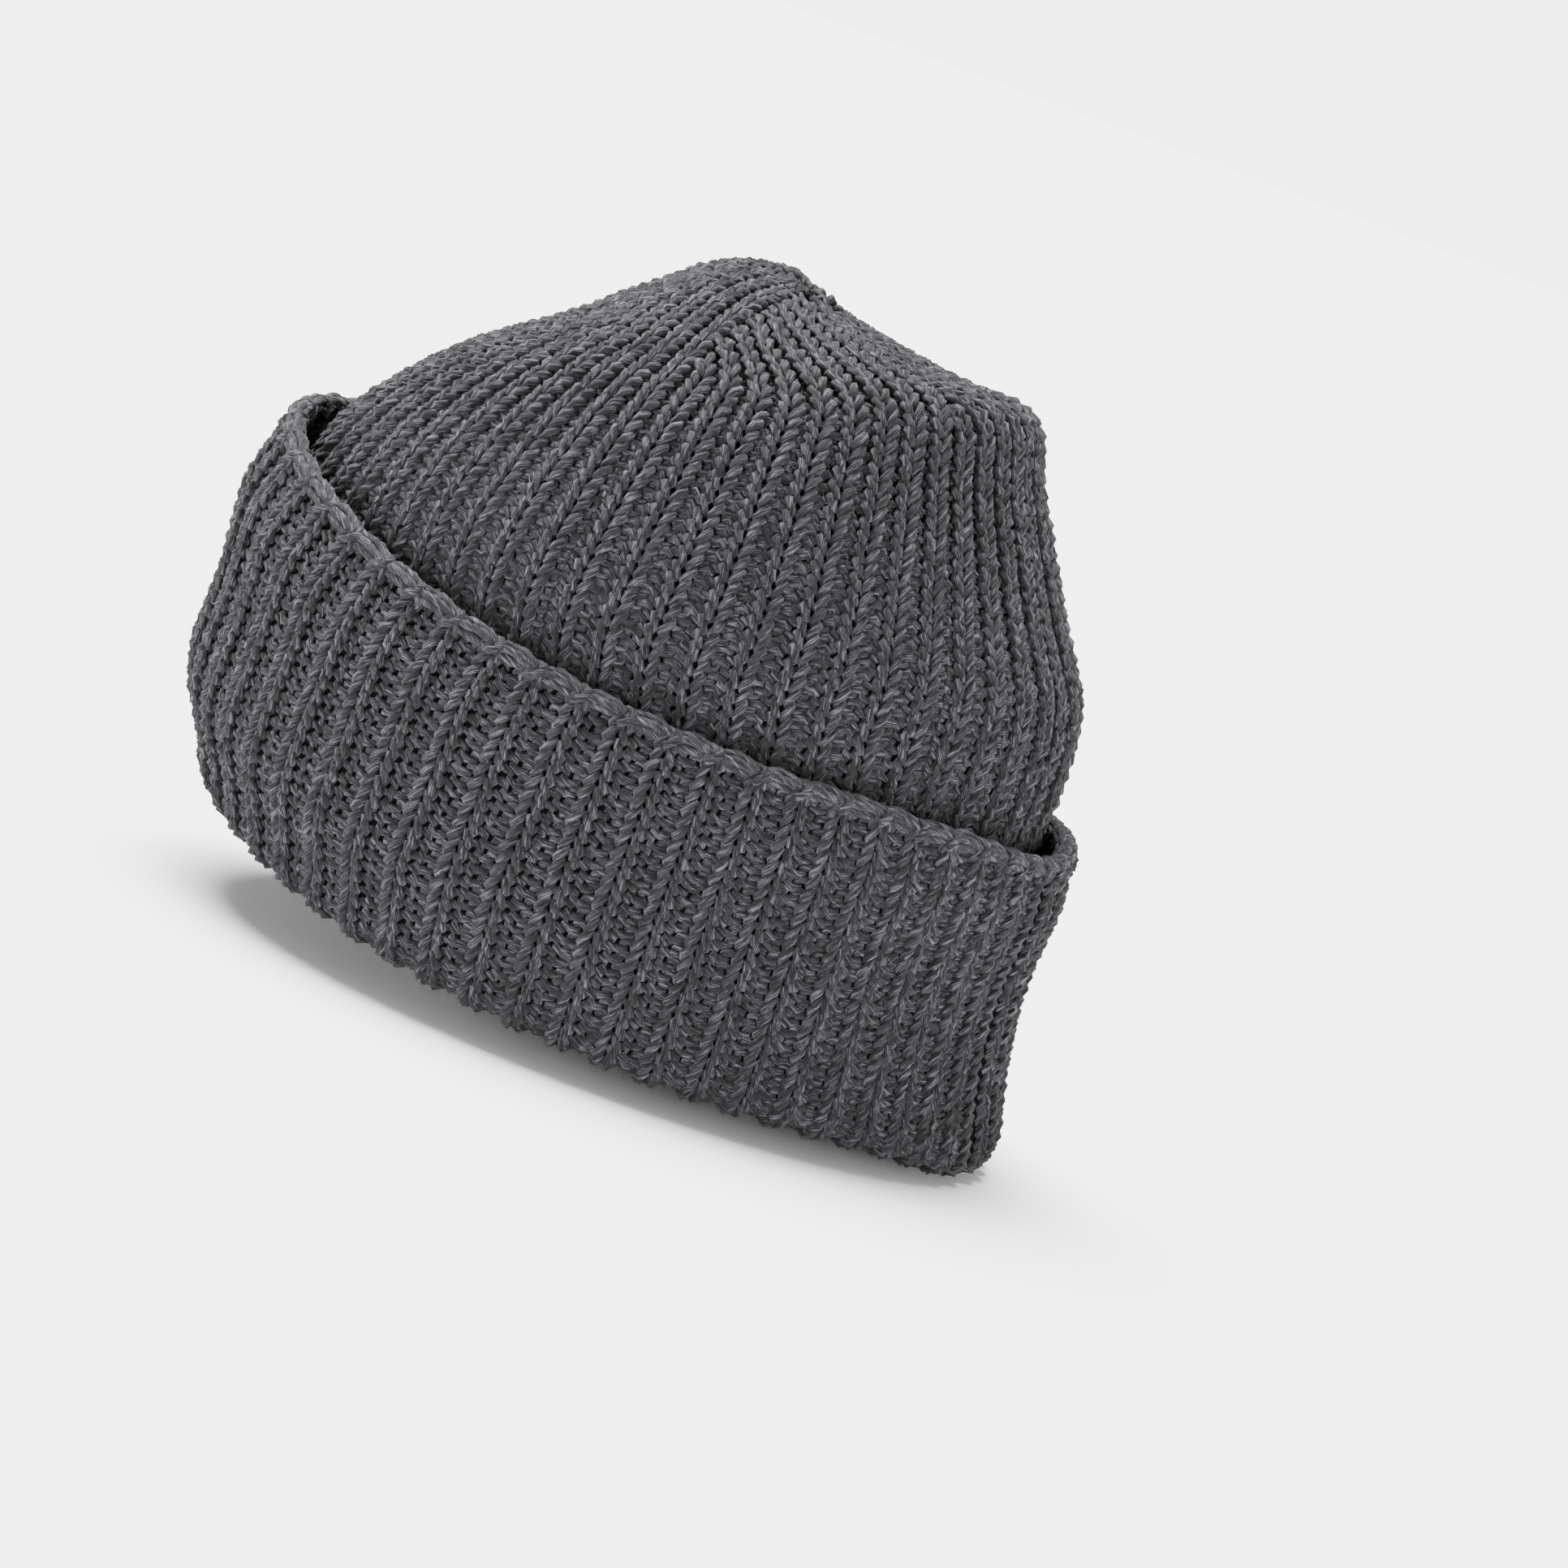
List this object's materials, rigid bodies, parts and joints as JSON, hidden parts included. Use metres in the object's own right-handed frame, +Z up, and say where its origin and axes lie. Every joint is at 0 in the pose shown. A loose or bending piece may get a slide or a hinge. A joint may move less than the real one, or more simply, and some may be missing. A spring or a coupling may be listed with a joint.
{
  "type": "knit beanie",
  "caption": "Chunky rib-knit beanie with a deep turned-up cuff and a crown closed by six darts that meet in a drawn-up point.",
  "frame": {"origin": "in the head opening, on the surface that the brim rests on", "axes": "+Z up out of the crown, -Y towards the forehead, +X towards the wearer's left"},
  "size_m": [0.1816, 0.2183, 0.1756],
  "materials": {
    "cuff_rib": "brushed wool-blend rib knit, reverse side out",
    "body_rib": "brushed wool-blend rib knit",
    "seam_yarn": "linked yarn",
    "label_tape": "woven satin tape",
    "label_thread": "matte sewing thread"
  },
  "bodies": {
    "cuff": {"cuff_turn_up": "cuff_rib", "cast_on_edge": "cuff_rib", "cuff_back_seam": "seam_yarn"},
    "crown_body": {"body_back_seam": "seam_yarn", "body_tube": "body_rib", "care_label": "label_tape", "crown_closing_stitch": "seam_yarn", "crown_gore_back": "body_rib", "crown_gore_back_left": "body_rib", "crown_gore_back_right": "body_rib", "crown_gore_front": "body_rib", "crown_gore_front_left": "body_rib", "crown_gore_front_right": "body_rib", "dart_seam_back_left": "seam_yarn", "dart_seam_back_right": "seam_yarn", "dart_seam_front_left": "seam_yarn", "dart_seam_front_right": "seam_yarn", "dart_seam_left": "seam_yarn", "dart_seam_right": "seam_yarn", "label_stitches": "label_thread"}
  },
  "joints": [
    {"name": "cuff_unroll", "type": "slide", "parent": "cuff", "child": "crown_body", "axis": [0, -0.1289, 0.9917], "range_m": [0, 0.068]}
  ]
}
